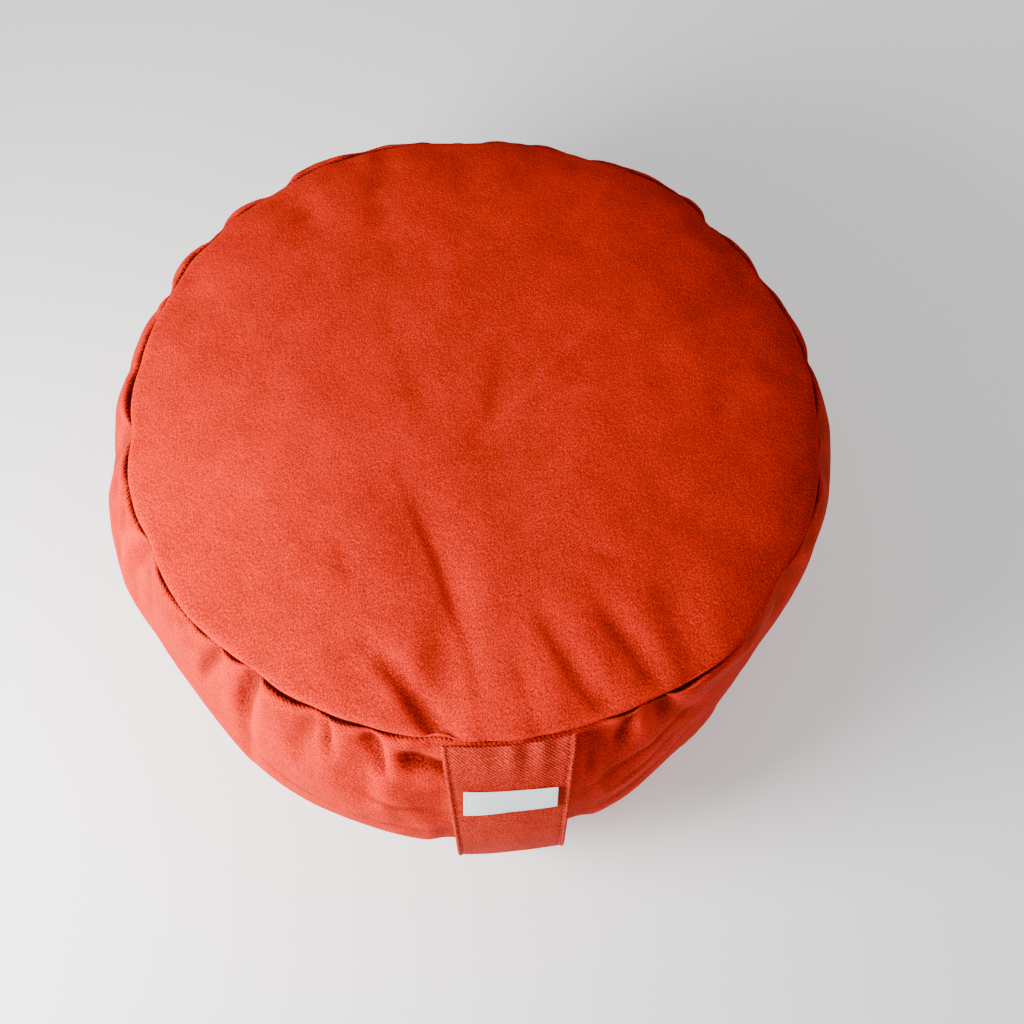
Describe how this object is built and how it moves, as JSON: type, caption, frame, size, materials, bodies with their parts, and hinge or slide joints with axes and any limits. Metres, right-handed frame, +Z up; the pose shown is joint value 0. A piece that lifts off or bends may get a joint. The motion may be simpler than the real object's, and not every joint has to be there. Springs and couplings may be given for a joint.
{
  "type": "meditation cushion",
  "caption": "Round filled floor cushion with a crowned top, bulging side band, drawn-in seams, a flat base, and a sewn carrying strap that carries a blank woven label.",
  "frame": {"origin": "the centre of the flat base, on the surface that the cushion lies on", "axes": "+Z up through the crown of the top panel, -Y out through the carrying strap, +X to the right of the strap as one faces it"},
  "size_m": [0.3585, 0.3701, 0.15],
  "materials": {
    "cushion_cloth": "brushed cotton twill with a soft nap, matte",
    "strap_cloth": "folded cotton twill, matte",
    "label_cloth": "fine woven satin, soft sheen"
  },
  "bodies": {
    "root": {"cushion_body": "cushion_cloth", "carrying_strap": "strap_cloth", "woven_label": "label_cloth"}
  },
  "joints": []
}
